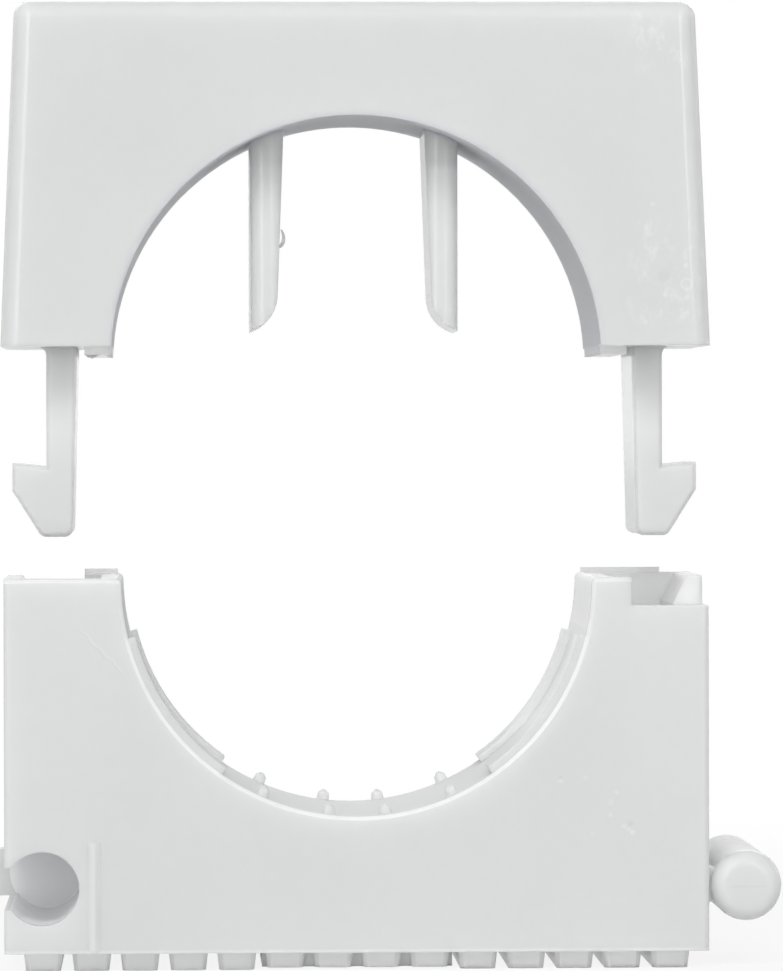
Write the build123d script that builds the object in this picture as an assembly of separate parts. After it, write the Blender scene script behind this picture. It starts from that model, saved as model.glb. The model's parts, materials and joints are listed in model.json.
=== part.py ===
from build123d import *
import os
from math import atan2, degrees, sqrt

# Pipe clip of two mouldings, in millimetres: a base with a saddle for the pipe, and a cover lifted off it.
# X runs across the pipe, Y along it (the front is -Y) and Z up from the wall that the base is fixed to.

# Pipe and overall size
pipe_diameter = 32.0
clip_depth = 18.0
base_width = 49.5
base_height = 26.25
corner_round = 0.4

# Ribs and fixing pad on the underside
rib_count = 14
rib_pitch = 3.39
rib_height = 1.25
rib_foot_width = 2.45
rib_root_width = 2.75
rib_corner_chamfer = 0.4
rib_setback = 0.8
pad_width = 13.4
pad_setback = 1.0
pad_relief = 0.14

# Blind hole in the pad for the fixing stud
stud_hole_diameter = 5.0
stud_hole_depth = 8.0
stud_hole_lead_in = 0.2

# Saddle with raised grip bands and teeth
axis_drop = 0.2
band_thickness = 0.5
band_width = 3.6
band_start_angle = 14.0
band_end_angle = 55.0
rim_chamfer = 0.3
saddle_lip_round = 0.4
tooth_angles = (-24.0, -7.0, 7.0, 24.0)
tooth_height = 0.75
tooth_diameter = 1.0
tooth_tip_diameter = 0.72
tooth_tip_chamfer = 0.24

# Hook pockets, corner notches and end walls
saddle_wall = 1.5
end_wall = 2.1
face_wall = 2.0
lead_in_width = 1.0
lead_in_height = 2.0
notch_width = 5.45
notch_length = 5.5
notch_depth = 2.0

# Low rim along the top of the rear wall, behind the cover's lips
rear_rim_height = 0.35
rear_rim_clearance = 0.2

# Peg and socket that link one clip to the next
link_diameter = 5.0
link_clearance = 0.1
link_offset = 2.65
link_height = 5.8
link_end_round = 1.05
link_neck = 2.4
link_neck_clearance = 0.3
link_end_play = 0.5
stop_length = 1.5
stop_reach = 1.0
stop_height = 3.4
stop_clearance = 0.1

# Low round ridge on the front face, beside the socket
ridge_offset = 6.3
ridge_width = 0.9
ridge_length = 7.8
ridge_height = 0.2

# Cover
cover_lift = 15.7
cover_height = 24.3
cover_overhang = 0.2
cover_end_draft = 2.4
cover_face_draft = 1.2
cover_round = 1.25
arch_clearance = 1.2
arch_drop = 1.0
lip_drop = 0.6
lip_width = 1.9
lip_setback = 1.2

# Snap hooks
hook_thickness = 1.85
hook_width = 10.0
hook_length = 13.4
hook_gap = 0.85
hook_root_thickening = 0.35
hook_root_round = 0.6
hook_edge_chamfer = 0.25
barb_reach = 2.4
barb_height = 5.2
barb_face_height = 1.95
barb_undercut = 0.25
barb_tip_width = 2.2
barb_tip_round = 0.6
barb_clearance = 0.2
barb_side_clearance = 0.4
hook_tip_clearance = 2.0

# Spring fingers
finger_offset = 6.17
finger_root_width = 2.4
finger_tip_width = 1.95
finger_depth = 9.0
finger_edge_round = 1.0
finger_tip_rise = 1.1
finger_tip_length = 2.6

# Places that follow from the sizes
half_width = base_width / 2
half_depth = clip_depth / 2
base_bottom = rib_height
base_top = base_bottom + base_height
pipe_axis = base_top - axis_drop
pipe_radius = pipe_diameter / 2
saddle_radius = pipe_radius + band_thickness
pocket_inner = saddle_radius + saddle_wall
pocket_outer = half_width - end_wall
pocket_half_depth = half_depth - face_wall
cover_bottom = base_top + lip_drop + cover_lift
arch_radius = pipe_radius + arch_clearance
arch_axis = cover_bottom - arch_drop
stem_outer = pocket_outer - hook_gap
stem_inner = stem_outer - hook_thickness
barb_outer = stem_outer + barb_reach
hook_tip = cover_bottom - hook_length
pocket_floor = hook_tip - cover_lift - hook_tip_clearance
link_radius = link_diameter / 2
socket_radius = link_radius + link_clearance
socket_end = half_depth - stop_length
peg_end = socket_end - link_end_play

# How far pieces of one moulding run into each other and cuts run past faces
sunk = 0.2

# How cylinders and cones are placed, standing on their lower end
standing = (Align.CENTER, Align.CENTER, Align.MIN)


def block(x_range, y_range, z_range):
    """A box between two limits on each axis."""
    low, high = zip(x_range, y_range, z_range)
    return Pos(*low) * Box(*(b - a for a, b in zip(low, high)), align=Align.MIN)


def along_y(profile, y_range):
    """A profile drawn with its x along X and its y along Z, drawn out along Y between two limits."""
    return extrude(Plane.XZ.offset(-y_range[1]) * profile, y_range[1] - y_range[0])


def rod_along_y(radius, x, z, y_range):
    """A round bar along Y between two limits."""
    return along_y(Pos(x, z) * Circle(radius), y_range)


def both_sides(solid):
    """A solid and its mirror image on the other side of the pipe."""
    return solid + mirror(solid, Plane.YZ)


def outline(*points):
    """A face bounded by straight lines through the points."""
    return make_face(Polyline(*points, close=True))


def base_body():
    """The block with its saddle, with rounded corners and broken edges round its front and rear faces."""
    section = Pos(0, base_bottom) * Rectangle(base_width, base_height, align=(Align.CENTER, Align.MIN))
    section -= Pos(0, pipe_axis) * Circle(saddle_radius)
    lips = section.vertices().sort_by_distance((0, base_top))[:2]
    section = fillet(lips, saddle_lip_round)
    body = along_y(section, (-half_depth, half_depth))
    faces = body.faces().sort_by(Axis.Y)
    rims = (faces[:1] + faces[-1:]).edges().filter_by(Axis.Z, reverse=True).sort_by(Axis.Z)[2:]
    body = chamfer(rims, rim_chamfer)
    corners = body.edges().filter_by(Axis.Z)
    return fillet(corners, corner_round)


def grip_bands():
    """Raised bands on both flanks of the saddle, one near the front face and one near the rear face."""
    start = CenterArc((0, 0), pipe_radius, -band_end_angle, band_end_angle - band_start_angle)
    end = CenterArc((0, 0), saddle_radius + sunk, -band_end_angle, band_end_angle - band_start_angle)
    sector = make_face([start, Line(start @ 1, end @ 1), end, Line(end @ 0, start @ 0)])
    outer = half_depth - rim_chamfer
    front = along_y(Pos(0, pipe_axis) * sector, (-outer, band_width - outer))
    return both_sides(front + mirror(front, Plane.XZ))


def grip_teeth():
    """Small blunt teeth along the saddle floor, a row near each face."""
    tooth = Cone(tooth_diameter / 2, tooth_tip_diameter / 2, tooth_height + sunk, align=standing)
    tooth = chamfer(tooth.edges().sort_by(Axis.Z)[-1:], tooth_tip_chamfer)
    row = half_depth - rim_chamfer - tooth_diameter / 2
    places = [Pos(0, y, pipe_axis) * Rot(0, angle, 0) for y in (-row, row) for angle in tooth_angles]
    return [place * Pos(0, 0, -saddle_radius - sunk) * tooth for place in places]


def underside():
    """Gripping ribs that run front to back, lower and joined by the fixing pad under the middle."""
    plan = Rectangle(rib_root_width, clip_depth - 2 * rib_setback)
    plan = Plane.XY.offset(rib_height) * chamfer(plan.vertices(), rib_corner_chamfer)
    slope = degrees(atan2((rib_root_width - rib_foot_width) / 2, rib_height))
    rib = extrude(plan, -rib_height, taper=slope) + extrude(plan, sunk)
    first = -(rib_count - 1) / 2 * rib_pitch
    ribs = [Pos(first + i * rib_pitch, 0, 0) * rib for i in range(rib_count)]
    pad_half, pad_end = pad_width / 2, half_depth - rib_setback - pad_setback
    pad = block((-pad_half, pad_half), (-pad_end, pad_end), (pad_relief, rib_height + sunk))
    relief = block((-pad_half, pad_half), (-half_depth, half_depth), (-sunk, pad_relief))
    return [rib - relief for rib in ribs] + [pad]


def stud_hole():
    """The blind hole for the fixing stud, up from the pad, with a chamfered mouth."""
    radius = stud_hole_diameter / 2
    mouth = Cone(radius + stud_hole_lead_in, radius, stud_hole_lead_in, align=standing)
    return Pos(0, 0, pad_relief) * (Cylinder(radius, stud_hole_depth, align=standing) + mouth)


def hook_pocket():
    """The pocket that takes a hook, its lead-in chamfer and the window that its barb snaps into."""
    span = (-pocket_half_depth, pocket_half_depth)
    inside, outside, above = pocket_outer - sunk, half_width + sunk, base_top + sunk
    pocket = block((pocket_inner, pocket_outer), span, (pocket_floor, above))
    lead_in_edge = pocket_outer + lead_in_width
    lead_in_foot = base_top - lead_in_height
    lead_in = outline((inside, above), (lead_in_edge, above), (lead_in_edge, base_top),
                      (pocket_outer, lead_in_foot), (inside, lead_in_foot))
    tip = hook_tip - cover_lift
    top = tip + barb_height + barb_clearance
    slope = barb_undercut / barb_reach
    window = outline((inside, tip), (outside, tip), (outside, top + slope * (outside - barb_outer)),
                     (inside, top + slope * (inside - barb_outer)))
    window_half = hook_width / 2 + barb_side_clearance
    return pocket + along_y(lead_in, span) + along_y(window, (-window_half, window_half))


def corner_notch():
    """The low corner on the front right, cut through the end wall beside the hook."""
    return block((half_width - notch_width, half_width + sunk),
                 (-half_depth - sunk, notch_length - half_depth),
                 (base_top - notch_depth, base_top + rear_rim_height + sunk))


def rear_rim():
    """The low rim on the rear wall, on both sides of the saddle, before the notch on the left cuts it."""
    span = (half_depth - lip_setback + rear_rim_clearance, half_depth - rim_chamfer)
    rise = (base_top - sunk, base_top + rear_rim_height)
    return both_sides(block((saddle_radius + saddle_lip_round, pocket_outer), span, rise))


def link_peg():
    """The round bar on the right side that slides into the next clip's socket, on its neck."""
    span = (-half_depth, peg_end)
    x = half_width + link_offset
    bar = rod_along_y(link_radius, x, link_height, span)
    bar = fillet(bar.edges().filter_by(GeomType.CIRCLE).group_by(Axis.Y)[0], link_end_round)
    neck_half = link_neck / 2
    neck = block((half_width - sunk, x), (span[0] + link_end_round, span[1]),
                 (link_height - neck_half, link_height + neck_half))
    return bar + neck


def link_socket():
    """The round socket on the left side, open to the front, with a mouth for the neck."""
    span = (-half_depth - sunk, socket_end)
    x = -half_width + link_offset
    mouth_half = link_neck / 2 + link_neck_clearance
    mouth = block((-half_width - sunk, x), span, (link_height - mouth_half, link_height + mouth_half))
    return rod_along_y(socket_radius, x, link_height, span) + mouth


def link_stop(clearance):
    """The nib behind the socket that stops the next clip, grown by the clearance of its recess."""
    half = stop_height / 2 + clearance
    return block((-half_width - stop_reach - clearance, -half_width + sunk),
                 (socket_end - clearance, half_depth),
                 (link_height - half, link_height + half))


def face_ridge():
    """The low round ridge on the front face, from the bottom edge up."""
    radius = (ridge_width ** 2 / 4 + ridge_height ** 2) / (2 * ridge_height)
    ridge = Pos(ridge_offset - half_width, radius - ridge_height - half_depth, base_bottom)
    return ridge * Cylinder(radius, ridge_length, align=standing)


def clip_base():
    """The whole base moulding."""
    notch = corner_notch()
    recess = Pos(base_width, 0, 0) * link_stop(stop_clearance)
    body = base_body() + rear_rim() - both_sides(hook_pocket()) - notch - Rot(0, 0, 180) * notch
    body = body - link_socket() - recess
    body = body + grip_bands() + grip_teeth() + underside() + face_ridge() + link_peg() + link_stop(0)
    return body - stud_hole()


def cover_body():
    """The drafted block with rounded corners and the arch over the pipe."""
    width = base_width + 2 * cover_overhang
    rising = (Align.CENTER, Align.MIN)
    front = Trapezoid(width, cover_height, 90 - cover_end_draft, align=rising)
    side = Trapezoid(clip_depth, cover_height, 90 - cover_face_draft, align=rising)
    body = along_y(front, (-half_depth, half_depth)) & extrude(Plane.YZ * side, width / 2, both=True)
    body = Pos(0, 0, cover_bottom) * fillet(body.edges().sort_by(Axis.Z)[4:], cover_round)
    body -= rod_along_y(arch_radius, 0, arch_axis, (-half_depth - sunk, half_depth + sunk))
    return body


def cover_lips():
    """The ends of the arch, which hang lower than the walls and seat on the base."""
    reach = half_depth - lip_setback
    arch_edge = sqrt(arch_radius ** 2 - (cover_bottom + sunk - arch_axis) ** 2)
    lip = block((arch_edge, arch_edge + lip_width), (-reach, reach),
                (cover_bottom - lip_drop, cover_bottom + sunk))
    return both_sides(lip - rod_along_y(arch_radius, 0, arch_axis, (-half_depth, half_depth)))


def snap_hook():
    """A hook: a stem that thickens towards its root, and a barb with a lead-in slope and an undercut top."""
    barb_top = hook_tip + barb_height
    corner = (stem_outer, barb_top - barb_undercut)
    tip_outer = stem_inner + barb_tip_width
    profile = outline((stem_inner - hook_root_thickening, cover_bottom + sunk),
                      (stem_inner, hook_tip), (tip_outer, hook_tip),
                      (barb_outer, barb_top - barb_face_height), (barb_outer, barb_top),
                      corner, (stem_outer, cover_bottom + sunk))
    tip_corners = profile.vertices().group_by(Axis.Y)[0]
    profile = fillet(tip_corners, barb_tip_round)
    hook = along_y(profile, (-hook_width / 2, hook_width / 2))
    sides = hook.faces().sort_by(Axis.Y)
    return chamfer((sides[:1] + sides[-1:]).edges().sort_by(Axis.Z)[:-2], hook_edge_chamfer)


def root_fillet():
    """The concave rounding between a hook's outer side and the cover's underside."""
    r = hook_root_round
    corner = Pos(stem_outer - sunk, cover_bottom - r) * Rectangle(r + sunk, r + sunk, align=Align.MIN)
    corner -= Pos(stem_outer + r, cover_bottom - r) * Circle(r)
    reach = hook_width / 2 - hook_edge_chamfer
    return along_y(corner, (-reach, reach))


def spring_finger():
    """A finger that hangs from the arch, with a rounded front and a tip curved on its inner side."""
    tip = cover_bottom + finger_tip_rise
    outer = finger_offset + finger_root_width / 2
    root_inner = outer - finger_root_width
    tip_inner = outer - finger_tip_width
    root = arch_axis + sqrt(arch_radius ** 2 - outer ** 2)
    inner_root = arch_axis + sqrt(arch_radius ** 2 - root_inner ** 2) + sunk
    curve_top = (tip_inner, tip + finger_tip_length)
    edges = [Line((outer, tip), (outer, root + sunk)), Line((outer, root + sunk), (root_inner, inner_root)),
             Line((root_inner, inner_root), curve_top),
             TangentArc(curve_top, (outer, tip), tangent=(0, -1))]
    finger = along_y(make_face(edges), (-finger_depth / 2, finger_depth / 2))
    plan = Pos(finger_offset, 0, tip) * RectangleRounded(finger_root_width, finger_depth, finger_edge_round)
    return finger & extrude(plan, inner_root - tip)


def snap_cover():
    """The whole cover moulding, lifted off the base."""
    hook = snap_hook() + root_fillet()
    return cover_body() + cover_lips() + both_sides(hook) + both_sides(spring_finger())


os.makedirs("parts", exist_ok=True)
for name, solid in {"clip_base": clip_base(), "snap_cover": snap_cover()}.items():
    export_step(solid, f"parts/{name}.step")
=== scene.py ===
import json
from math import cos, pi, radians, sin

import bpy
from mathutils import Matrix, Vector


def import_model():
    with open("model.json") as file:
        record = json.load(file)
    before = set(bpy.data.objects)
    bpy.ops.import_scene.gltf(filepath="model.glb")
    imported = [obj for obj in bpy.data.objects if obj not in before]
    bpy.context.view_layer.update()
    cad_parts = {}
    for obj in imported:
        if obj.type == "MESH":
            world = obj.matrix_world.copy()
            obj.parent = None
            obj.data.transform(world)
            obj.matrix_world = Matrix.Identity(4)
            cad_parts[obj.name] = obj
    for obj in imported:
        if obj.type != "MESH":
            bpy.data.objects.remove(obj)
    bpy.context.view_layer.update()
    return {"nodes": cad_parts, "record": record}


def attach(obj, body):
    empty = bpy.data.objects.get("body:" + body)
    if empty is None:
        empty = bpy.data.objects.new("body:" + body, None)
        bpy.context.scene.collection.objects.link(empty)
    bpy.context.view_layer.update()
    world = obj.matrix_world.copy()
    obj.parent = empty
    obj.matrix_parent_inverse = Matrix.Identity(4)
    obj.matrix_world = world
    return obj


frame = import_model()

# Lengths below are in millimetres, as in the part's own drawing, and become metres where they are used
mm = 0.001

# Places that the part's record gives: the pipe's axis, and the front ends of the socket and the peg
mounts = {mount["name"]: [length / mm for length in mount["pos_m"]] for mount in frame["record"]["mounts"]}
pipe_x, _, pipe_z = mounts["pipe_seat"]
socket_x, front_face, socket_z = mounts["link_socket"]
peg_x, _, peg_z = mounts["link_peg"]

# The photograph's camera
camera_place = (-12.87, -417.25, 37.53)
camera_yaw = 2.148
camera_pitch = -0.495
camera_roll = -0.127
camera_lens = 216.13
camera_sensor = 36.0
camera_reach = 16000.0

# Light grey moulded plastic
plastic_colour = (0.700, 0.712, 0.706)
plastic_refraction = 1.49
plastic_roughness = 0.24
bore_roughness = 0.75
polished_roughness = 0.12
plastic_depth_of_light = 2.5
base_brightness = 1.025
cover_brightness = 0.99
edge_softness = 0.15
edge_samples = 6

# Its clouds, mottle and grain: waves to the millimetre, layers of finer waves, how strong a finer layer is
# against the one before, and how far they change tone, roughness and height
cloud_scale = 0.08
cloud_layers = 3.0
cloud_finer = 0.5
cloud_tone = 0.06
mottle_scale = 0.9
mottle_layers = 4.0
mottle_finer = 0.6
mottle_tone = 0.03
mottle_roughness = 0.12
grain_scale = 6.0
grain_layers = 3.0
grain_finer = 0.6
grain_strength = 0.12
grain_height = 0.02
noise_middle = 0.5

# Round surfaces along Y: axis seen from the front, inner and outer radius, where they end at the rear,
# roughness, and a bluish tinge of painted shade
no_shade_tint = (1.0, 1.0, 1.0)
saddle_bore = dict(axis=(pipe_x, 0.0, pipe_z), inner=0.0, outer=16.85, rear=9.0,
                   roughness=bore_roughness, shade_tint=no_shade_tint)
socket_bore = dict(axis=(socket_x, 0.0, socket_z), inner=0.0, outer=2.7, rear=8.0,
                   roughness=plastic_roughness, shade_tint=(0.99, 0.985, 1.01))
arch_bore = dict(axis=(0.0, 0.0, 42.8), inner=16.9, outer=17.5, rear=9.0,
                 roughness=bore_roughness, shade_tint=(0.98, 0.98, 1.03))

# Painted light in the socket, which makes it paler than the faces from a little behind the front on
socket_painted_light = dict(starts=0.3, full=1.5, by=0.28)

# Painted highlight on the broken edges round the base's front, which makes them look whiter than the faces
base_top = 27.5
rim_width = 0.32
rim_start = 0.02
rim_depth = 0.26
rim_fade = 0.01
rim_painted_highlight = 0.28

# Flow line on the base's left shoulder, from end to end: a painted highlight line with a painted shadow line
# beside it, the shading of a fine ridge, each from side to side, with its softness and how much lighter or
# darker it is
flow_line = ((-19.1, 0.0, 23.8), (-16.5, 0.0, 21.1))
flow_line_fade = 0.4
wander = dict(reach=0.7, scale=1.2, layers=3.0, finer=0.5)
flow_line_highlight_and_shadow = [(-0.03, 0.03, 0.09, 0.05), (-0.20, -0.12, 0.10, -0.025)]

# Parting line across the peg's end, a little below its axis
peg_line = dict(half_length=1.0, end_fade=0.5, below=0.05, half_width=0.03, fade=0.12, lighter=-0.035)

# Marks on the front faces: across, up, radius, and how much lighter or darker,
# with the share of the radius that has the whole change; on the base, the darker marks just above lighter
# ones are painted shade on the upper sides of nicks
base_marks = [
    (14.27, 13.22, 0.24, 0.07), (14.27, 13.48, 0.20, -0.05), (16.02, 13.46, 0.26, 0.05),
    (18.20, 12.41, 0.22, 0.06), (17.78, 11.71, 0.32, 0.04), (17.78, 10.83, 0.22, 0.06),
    (18.72, 10.03, 0.24, 0.07), (19.04, 9.82, 0.20, 0.07), (19.32, 9.60, 0.24, 0.10),
    (19.18, 10.24, 0.30, -0.07), (16.50, 9.54, 0.25, 0.03),
]
cover_marks = [
    (21.62, 48.64, 0.60, -0.04), (21.72, 47.34, 0.26, 0.06), (20.84, 53.73, 0.26, 0.06),
    (23.16, 49.41, 0.26, 0.08), (23.23, 47.17, 0.26, 0.08), (23.23, 46.10, 0.22, 0.06),
    (20.30, 45.40, 0.22, 0.04),
]
mark_core = 0.35
cover_ring = dict(centre=(23.2, 0.0, 48.1), radius=0.36, width=0.12, fade=0.07, lighter=0.06)

# Scuffs down the cover's right edge, in two stretches that are given by height and softness
scuffs = dict(across=(19.6, 24.1), across_fade=0.9, stretches=[(63.6, 66.8, 0.9), (46.0, 52.0, 1.4)],
              squeeze=(1.0, 1.0, 0.6), scale=0.9, layers=4.0, finer=0.65, ramp=(0.47, 0.75), lighter=0.11)
cover_front_depth = 2.0

# A painted highlight along a stretch of the cover's lower front edge, beside the right lip
cover_bottom = 43.8
lower_edge_highlight = dict(across=(17.2, 18.7), across_fade=0.3, below=0.05, above=0.10, fade=0.03, lighter=0.25)

# Boxes that are paler by painted light, where light passes through the moulding, or darker by painted shade:
# their span across, in depth and in height, their softness and by how much
zone_depth_softness = 0.2
# On the base: painted light on the feet, the right notch, the saddle's right side and the rear rim, and a
# painted shade line beside the front ridge
base_painted_light_and_shade = {
    "feet_painted_light": ((-30, 30), (-9, 9), (-1.0, 1.3), 0.25, 0.28),
    "right_notch_painted_light": ((15, 24.4), (-8.4, 7.5), (24.2, 28), 0.5, 0.28),
    "saddle_right": ((13, 17), (-8.4, 8.0), (17, 24), 4.0, 0.20),
    "rear_rim_painted_light": ((-24.4, 24.4), (7.8, 8.4), (26.6, 28), 0.2, 0.36),
    "front_ridge_painted_shade": ((-18.36, -18.2), (-10, -9.02), (1.3, 9.0), 0.08, -0.06),
}
# On the cover: painted light on the lips, the insides of the hooks and the hook stems, and painted shade on
# the finger roots and the arch's top
cover_painted_light_and_shade = {
    "left_lip_painted_light": ((-19.3, -17), (-8.5, 8.5), (42.8, 43.7), 0.25, 0.36),
    "right_lip_painted_light": ((17, 19.3), (-8.5, 8.5), (43.0, 43.7), 0.25, 0.12),
    "inside_of_hooks": ((-19.7, 19.7), (-6.3, 6.3), (26, 43), 0.2, 0.28),
    "hook_stems_painted_light": ((-25, 25), (-12, 12), (38.0, 40.5), 3.0, 0.06),
    "left_finger_root_painted_shade": ((-8.6, -4.4), (-6, 6), (57.0, 60.5), 0.8, -0.05),
    "right_finger_root_painted_shade": ((4.4, 8.6), (-6, 6), (57.0, 60.5), 0.8, -0.12),
    "arch_top_painted_shade": ((-3.6, 3.6), (-8.2, 8.2), (58.5, 59.8), 0.8, -0.12),
}

# Boxes where the moulding was left smoother, which shows at a glancing view, in the same form
base_polish = {
    "saddle_right": ((14, 18), (-8.4, 9), (18, 28), 4.0, 0.7),
}
cover_polish = {
    "inside_of_hooks": ((-19.7, 19.7), (-6.3, 6.3), (26, 43), 0.2, 1.0),
    "right_front_edge": ((22.0, 25.0), (-10, -5), (48, 68), 0.5, 0.7),
}

# Moulding flash on the cover: along each burr, across, up, half thickness and half depth
finger_burr = [
    (-5.36, 50.80, 0.05, 0.20), (-5.20, 50.95, 0.14, 0.30), (-5.03, 51.15, 0.15, 0.34),
    (-4.96, 51.45, 0.14, 0.32), (-4.98, 51.75, 0.12, 0.26), (-5.08, 52.02, 0.08, 0.18),
    (-5.18, 52.16, 0.03, 0.08),
]
finger_burr_depth = -3.3
lip_burr = [
    (-19.00, 43.22, 0.03, 0.08), (-18.84, 43.22, 0.10, 0.16), (-18.68, 43.22, 0.22, 0.22),
    (-18.53, 43.22, 0.31, 0.24), (-18.38, 43.22, 0.22, 0.22), (-18.22, 43.22, 0.11, 0.16),
    (-18.06, 43.22, 0.03, 0.08),
]
lip_burr_depth = -6.3
burr_sides = 10
burr_rounding = 2

# Floor: where it starts to turn white, where it is all white, and how much of the shadow shows
floor_colour = (0.8, 0.8, 0.8)
floor_half_size = 4000.0
floor_near = 45.0
floor_far = 170.0
floor_shadow = 0.12

# A tent of soft light: the strength of each of its lit sides
tent = {"left": 0.4, "front": 0.48, "rear": 0.3}

# Soft boxes: two beside the camera, which draw the highlights along the cover's edges,
# one above the camera and three behind the part
lamp_aim = (0.0, 0.0, 36.0)
lamps = {
    "left_key": dict(place=(-226, -600, 230), size=(170, 480), power=0.92),
    "right_key": dict(place=(161, -600, 230), size=(70, 480), power=0.5),
    "front_top": dict(place=(0, -950, 1000), size=(1000, 400), power=9.0, gloss=False),
    "rear_box": dict(place=(0, 520, 420), size=(700, 400), power=1.3),
    "left_rear": dict(place=(-520, 420, 260), size=(600, 500), power=0.4),
    "right_rear": dict(place=(640, 310, 200), size=(300, 500), power=0.45),
}


class Shader:
    """A material's or world's node tree, with short ways to add and join nodes."""

    def __init__(self, owner):
        owner.use_nodes = True
        self.tree = owner.node_tree
        self.tree.nodes.clear()

    def add(self, kind, inputs=None, **settings):
        """A node with its settings; an input is a value or another node's output."""
        node = self.tree.nodes.new(kind)
        for name, value in settings.items():
            setattr(node, name, value)
        for name, value in (inputs or {}).items():
            if isinstance(value, bpy.types.NodeSocket):
                self.tree.links.new(value, node.inputs[name])
            else:
                node.inputs[name].default_value = value
        return node

    def math(self, operation, *values):
        """One arithmetic step on numbers or outputs."""
        return self.add("ShaderNodeMath", dict(enumerate(values)), operation=operation).outputs[0]

    def vector(self, operation, *values, **inputs):
        """One step on vectors; a distance, length or dot product gives a number."""
        node = self.add("ShaderNodeVectorMath", {**dict(enumerate(values)), **inputs}, operation=operation)
        number = operation in ("DISTANCE", "LENGTH", "DOT_PRODUCT")
        return node.outputs["Value" if number else "Vector"]

    def product(self, *values):
        """All the values multiplied."""
        result = values[0]
        for value in values[1:]:
            result = self.math("MULTIPLY", result, value)
        return result

    def total(self, values):
        """All the values added."""
        result = 0.0
        for value in values:
            result = self.math("ADD", result, value)
        return result

    def ramp(self, value, low, high):
        """0 below low, 1 above high and smooth between them; high may be the smaller one."""
        inputs = {"Value": value, "From Min": low, "From Max": high}
        return self.add("ShaderNodeMapRange", inputs, interpolation_type="SMOOTHSTEP").outputs[0]

    def between(self, value, low, high, soft):
        """1 from low to high, and smoothly down to 0 over soft at both ends."""
        return self.product(self.ramp(value, low - soft, low), self.ramp(value, high + soft, high))

    def noise(self, place, scale, layers, finer):
        """Smooth noise around its middle, with scale in waves to the millimetre."""
        inputs = {"Vector": place, "Scale": scale, "Detail": layers, "Roughness": finer}
        return self.add("ShaderNodeTexNoise", inputs).outputs[0]


def place_in_mm(shader):
    """The surface point in the part's own frame, in millimetres."""
    point = shader.add("ShaderNodeTexCoord").outputs["Object"]
    return shader.vector("SCALE", point, Scale=1 / mm)


def seen_from_front(shader, place):
    """The surface point with its depth left out."""
    return shader.vector("MULTIPLY", place, (1, 0, 1))


def parts_of(shader, direction):
    """The three parts of a point or direction, along X, Y and Z."""
    return shader.add("ShaderNodeSeparateXYZ", {0: direction}).outputs


def in_bore(shader, place, bore):
    """1 on a round surface along Y, between its two radii and in front of its rear end, and 0 elsewhere."""
    distance = shader.vector("DISTANCE", seen_from_front(shader, place), bore["axis"])
    outside = shader.math("GREATER_THAN", distance, bore["inner"])
    inside = shader.math("LESS_THAN", distance, bore["outer"])
    x, y, z = parts_of(shader, place)
    return shader.product(outside, inside, shader.math("LESS_THAN", y, bore["rear"]))


def spots(shader, place, marks):
    """Small round marks on the front."""
    across = seen_from_front(shader, place)
    for x, z, radius, amount in marks:
        distance = shader.vector("DISTANCE", across, (x, 0, z))
        yield shader.product(shader.ramp(distance, radius, mark_core * radius), amount)


def zones(shader, place, boxes):
    """Boxes with soft sides, each by its amount."""
    axes = parts_of(shader, place)
    for *spans, soft, amount in boxes.values():
        softness = (soft, zone_depth_softness, soft)
        inside = [shader.between(axis, *span, fade) for axis, span, fade in zip(axes, spans, softness)]
        yield shader.product(*inside, amount)


def painted_rim_highlight(shader, place):
    """A painted highlight on the broken edges round the saddle and along the top of the base's front."""
    x, y, z = parts_of(shader, place)
    rim = shader.between(y, front_face + rim_start, front_face + rim_depth, rim_fade)
    distance = shader.vector("DISTANCE", seen_from_front(shader, place), saddle_bore["axis"])
    by_saddle = shader.math("LESS_THAN", distance, saddle_bore["outer"])
    by_top = shader.math("GREATER_THAN", z, base_top - rim_width)
    return shader.product(shader.math("MAXIMUM", by_saddle, by_top), rim, rim_painted_highlight)


def flow_line_painted_light(shader, place):
    """The flow line's painted highlight and painted shadow stripes, which wander a little."""
    across = seen_from_front(shader, place)
    start, end = (Vector(point) for point in flow_line)
    along = (end - start).normalized()
    aside = Vector((-along.z, 0, along.x))
    far = shader.math("SUBTRACT", shader.vector("DOT_PRODUCT", across, along), start.dot(along))
    off = shader.math("SUBTRACT", shader.vector("DOT_PRODUCT", across, aside), start.dot(aside))
    noise = shader.noise(place, wander["scale"], wander["layers"], wander["finer"])
    waves = shader.math("SUBTRACT", noise, noise_middle)
    off = shader.math("ADD", off, shader.product(waves, wander["reach"]))
    length = shader.between(far, 0.0, (end - start).length, flow_line_fade)
    for low, high, soft, amount in flow_line_highlight_and_shadow:
        yield shader.product(length, shader.between(off, low, high, soft), amount)


def parting_line(shader, place):
    """The thin line across the peg's end."""
    x, y, z = parts_of(shader, place)
    left, right = (peg_x + sign * peg_line["half_length"] for sign in (-1, 1))
    low, high = (peg_z - peg_line["below"] + sign * peg_line["half_width"] for sign in (-1, 1))
    on_peg = shader.between(x, left, right, peg_line["end_fade"])
    return shader.product(on_peg, shader.between(z, low, high, peg_line["fade"]), peg_line["lighter"])


def base_wear_and_painted_light(shader, place):
    """Painted highlights on the rims, painted light in the socket and in boxes, painted shade, the flow
    line's painted highlight and shadow, nicks and the peg's parting line, as changes of tone on the base.
    """
    x, y, z = parts_of(shader, place)
    front = shader.math("LESS_THAN", y, front_face + rim_width)
    yield painted_rim_highlight(shader, place)
    behind = shader.ramp(y, front_face + socket_painted_light["starts"], front_face + socket_painted_light["full"])
    yield shader.product(in_bore(shader, place, socket_bore), behind, socket_painted_light["by"])
    yield from zones(shader, place, base_painted_light_and_shade)
    on_front = [parting_line(shader, place), *flow_line_painted_light(shader, place), *spots(shader, place, base_marks)]
    for mark in on_front:
        yield shader.product(mark, front)


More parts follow.
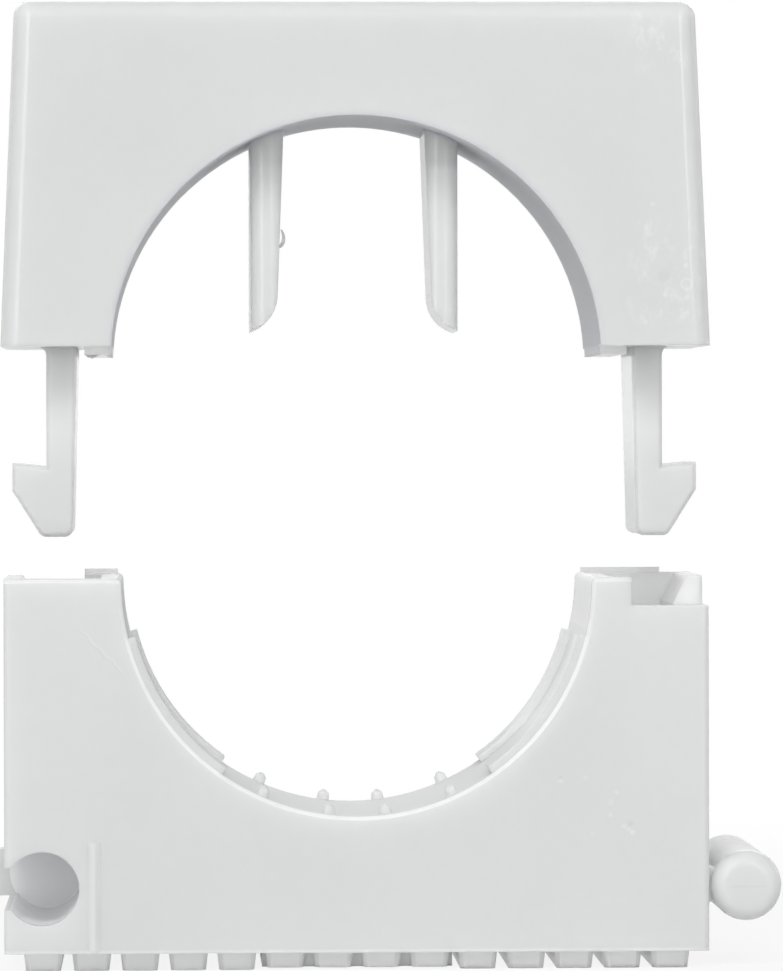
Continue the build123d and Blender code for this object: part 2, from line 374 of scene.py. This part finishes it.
def scuffed(shader, place):
    """Pale scuffs down the cover's right edge."""
    x, y, z = parts_of(shader, place)
    upper, lower = (shader.between(z, *stretch) for stretch in scuffs["stretches"])
    streaks = shader.vector("MULTIPLY", place, scuffs["squeeze"])
    noise = shader.noise(streaks, scuffs["scale"], scuffs["layers"], scuffs["finer"])
    across = shader.between(x, *scuffs["across"], scuffs["across_fade"])
    zone = shader.math("MAXIMUM", upper, lower)
    return shader.product(zone, across, shader.ramp(noise, *scuffs["ramp"]), scuffs["lighter"])


def ring_mark(shader, place):
    """The small ring near the cover's right edge."""
    distance = shader.vector("DISTANCE", seen_from_front(shader, place), cover_ring["centre"])
    inner, outer = (cover_ring["radius"] + sign * cover_ring["width"] / 2 for sign in (-1, 1))
    return shader.product(shader.between(distance, inner, outer, cover_ring["fade"]), cover_ring["lighter"])


def painted_edge_highlight(shader, place):
    """The painted highlight along a stretch of the cover's lower front edge."""
    x, y, z = parts_of(shader, place)
    low, high = cover_bottom - lower_edge_highlight["below"], cover_bottom + lower_edge_highlight["above"]
    across = shader.between(x, *lower_edge_highlight["across"], lower_edge_highlight["across_fade"])
    return shader.product(shader.between(z, low, high, lower_edge_highlight["fade"]), across, lower_edge_highlight["lighter"])


def cover_wear_and_painted_light(shader, place):
    """Scuffs down the right edge, a ring and nicks, with boxes of painted light and shade and a painted
    highlight on the lower edge, as changes of tone on the cover.
    """
    x, y, z = parts_of(shader, place)
    front = shader.math("LESS_THAN", y, front_face + cover_front_depth)
    yield from zones(shader, place, cover_painted_light_and_shade)
    on_front = [scuffed(shader, place), ring_mark(shader, place), painted_edge_highlight(shader, place)]
    for mark in [*on_front, *spots(shader, place, cover_marks)]:
        yield shader.product(mark, front)


def moulded_plastic(name, brightness, bores, polish, wear_and_painted_light):
    """Satin light grey plastic with faint clouds, fine grain, softened edges, worn marks, painted light and
    shade, and duller bores tinted bluish by painted shade.
    """
    material = bpy.data.materials.new(name)
    shader = Shader(material)
    place = place_in_mm(shader)
    clouds = shader.noise(place, cloud_scale, cloud_layers, cloud_finer)
    mottle = shader.noise(place, mottle_scale, mottle_layers, mottle_finer)
    grain = shader.noise(place, grain_scale, grain_layers, grain_finer)
    tone_at_zero = brightness - (cloud_tone + mottle_tone) * noise_middle
    changes = [shader.product(clouds, cloud_tone), shader.product(mottle, mottle_tone), *wear_and_painted_light(shader, place)]
    tone = shader.total([tone_at_zero, *changes])
    colour = shader.vector("SCALE", plastic_colour, Scale=tone)
    uneven = shader.product(mottle, mottle_roughness)
    roughness = shader.total([uneven, plastic_roughness - mottle_roughness * noise_middle])
    # Each bore gets its own roughness, and a bluish tinge of painted shade
    for bore in bores:
        inside = in_bore(shader, place, bore)
        shade_tint = shader.vector("SCALE", Vector(bore["shade_tint"]) - Vector(no_shade_tint), Scale=inside)
        colour = shader.vector("MULTIPLY", colour, shader.vector("ADD", shade_tint, no_shade_tint))
        duller = shader.product(inside, bore["roughness"] - plastic_roughness)
        roughness = shader.math("ADD", roughness, duller)
    smooth = shader.total(zones(shader, place, polish))
    change = shader.product(smooth, shader.math("SUBTRACT", polished_roughness, roughness))
    roughness = shader.math("ADD", roughness, change)
    edge = shader.add("ShaderNodeBevel", {"Radius": edge_softness * mm}, samples=edge_samples).outputs[0]
    bump = shader.add("ShaderNodeBump", {
        "Height": grain, "Strength": grain_strength, "Distance": grain_height * mm, "Normal": edge})
    surface = shader.add("ShaderNodeBsdfPrincipled", {
        "Base Color": colour, "Roughness": roughness, "IOR": plastic_refraction, "Normal": bump.outputs[0],
        "Subsurface Weight": 1.0, "Subsurface Scale": plastic_depth_of_light * mm,
        "Subsurface Radius": (1.0, 1.0, 1.0)})
    shader.add("ShaderNodeOutputMaterial", {"Surface": surface.outputs[0]})
    return material


def dress(piece, material):
    """Gives a piece its material."""
    piece.data.materials.clear()
    piece.data.materials.append(material)


def burr(name, stations, depth):
    """A curl of moulding flash along a line seen from the front, round in section and closed at both ends."""
    corners = []
    for i, (x, z, thick, deep) in enumerate(stations):
        before, after = stations[max(i - 1, 0)], stations[min(i + 1, len(stations) - 1)]
        along = Vector((after[0] - before[0], 0, after[1] - before[1])).normalized()
        aside = Vector((-along.z, 0, along.x))
        for step in range(burr_sides):
            turn = 2 * pi * step / burr_sides
            around = aside * thick * cos(turn) + Vector((0, deep * sin(turn), 0))
            corners.append((Vector((x, depth, z)) + around) * mm)
    last = len(corners) - 1
    faces = [list(range(burr_sides)), list(range(last, last - burr_sides, -1))]
    for first in range(0, len(corners) - burr_sides, burr_sides):
        for step in range(burr_sides):
            after = (step + 1) % burr_sides
            faces.append([first + after, first + step, first + burr_sides + step, first + burr_sides + after])
    mesh = bpy.data.meshes.new(name)
    mesh.from_pydata(corners, [], faces)
    mesh.shade_smooth()
    piece = bpy.data.objects.new(name, mesh)
    bpy.context.scene.collection.objects.link(piece)
    piece.modifiers.new("round", "SUBSURF").render_levels = burr_rounding
    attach(piece, "cover")
    return piece


def seen_rays(shader):
    """1 for rays that show the background: straight to the eye, by gloss or through glass."""
    path = shader.add("ShaderNodeLightPath").outputs
    direct = shader.math("MAXIMUM", path["Is Camera Ray"], path["Is Glossy Ray"])
    return shader.math("MAXIMUM", direct, path["Is Transmission Ray"])


def floor():
    """A pale floor that keeps the part's shadow and runs out to white."""
    material = bpy.data.materials.new("pale_floor")
    shader = Shader(material)
    white = shader.ramp(shader.vector("LENGTH", place_in_mm(shader)), floor_near, floor_far)
    white = shader.math("ADD", shader.product(white, floor_shadow), 1 - floor_shadow)
    seen = shader.product(white, seen_rays(shader))
    lit = shader.add("ShaderNodeBsdfDiffuse", {"Color": (*floor_colour, 1)}).outputs[0]
    glow = shader.add("ShaderNodeEmission", {"Color": (1, 1, 1, 1), "Strength": 1.0}).outputs[0]
    surface = shader.add("ShaderNodeMixShader", {0: seen, 1: lit, 2: glow}).outputs[0]
    shader.add("ShaderNodeOutputMaterial", {"Surface": surface})
    mesh = bpy.data.meshes.new("floor")
    half = floor_half_size * mm
    corners = [(-half, -half, 0), (half, -half, 0), (half, half, 0), (-half, half, 0)]
    mesh.from_pydata(corners, [], [(0, 1, 2, 3)])
    mesh.materials.append(material)
    plane = bpy.data.objects.new("floor", mesh)
    bpy.context.scene.collection.objects.link(plane)


def tent_light(shader):
    """The tent's strength along a ray: each side counts by the square of the direction's part towards it."""
    x, y, z = parts_of(shader, shader.add("ShaderNodeTexCoord").outputs["Generated"])
    towards = {"left": (x, -1), "front": (y, -1), "rear": (y, 1)}
    shares = []
    for side, (part, sign) in towards.items():
        part = shader.math("MAXIMUM", shader.product(part, sign), 0.0)
        shares.append(shader.product(part, part, tent[side]))
    return shader.total(shares)


def world():
    """White where it is seen, and the tent's light elsewhere."""
    made = bpy.data.worlds.new("studio")
    bpy.context.scene.world = made
    shader = Shader(made)
    seen, light = seen_rays(shader), tent_light(shader)
    strength = shader.math("ADD", light, shader.product(seen, shader.math("SUBTRACT", 1.0, light)))
    sky = shader.add("ShaderNodeBackground", {"Color": (1, 1, 1, 1), "Strength": strength}).outputs[0]
    shader.add("ShaderNodeOutputWorld", {"Surface": sky})


def lamp(name, place, size, power, gloss=True):
    """A soft box that faces the part, with or without a highlight of its own."""
    data = bpy.data.lights.new(name, "AREA")
    data.shape = "RECTANGLE"
    data.size, data.size_y = (side * mm for side in size)
    data.energy = power
    light = bpy.data.objects.new(name, data)
    light.visible_glossy = gloss
    light.location = Vector(place) * mm
    light.rotation_euler = (Vector(lamp_aim) - Vector(place)).to_track_quat("-Z", "Y").to_euler()
    bpy.context.scene.collection.objects.link(light)


def camera():
    """The camera at the photograph's place."""
    data = bpy.data.cameras.new("camera")
    data.sensor_width = camera_sensor
    data.lens = camera_lens
    data.clip_end = camera_reach * mm
    eye = bpy.data.objects.new("camera", data)
    eye.location = Vector(camera_place) * mm
    eye.rotation_euler = (radians(90 + camera_pitch), radians(-camera_roll), radians(-camera_yaw))
    bpy.context.scene.collection.objects.link(eye)
    bpy.context.scene.camera = eye


base_plastic = moulded_plastic("base_grey_plastic", base_brightness, [saddle_bore, socket_bore],
                               base_polish, base_wear_and_painted_light)
cover_plastic = moulded_plastic("cover_grey_plastic", cover_brightness, [arch_bore], cover_polish, cover_wear_and_painted_light)
dress(frame["nodes"]["clip_base"], base_plastic)
dress(frame["nodes"]["snap_cover"], cover_plastic)
dress(burr("finger_burr", finger_burr, finger_burr_depth), cover_plastic)
dress(burr("lip_burr", lip_burr, lip_burr_depth), cover_plastic)
floor()
world()
for name, values in lamps.items():
    lamp(name, **values)
camera()
bpy.context.scene.view_settings.view_transform = "Standard"
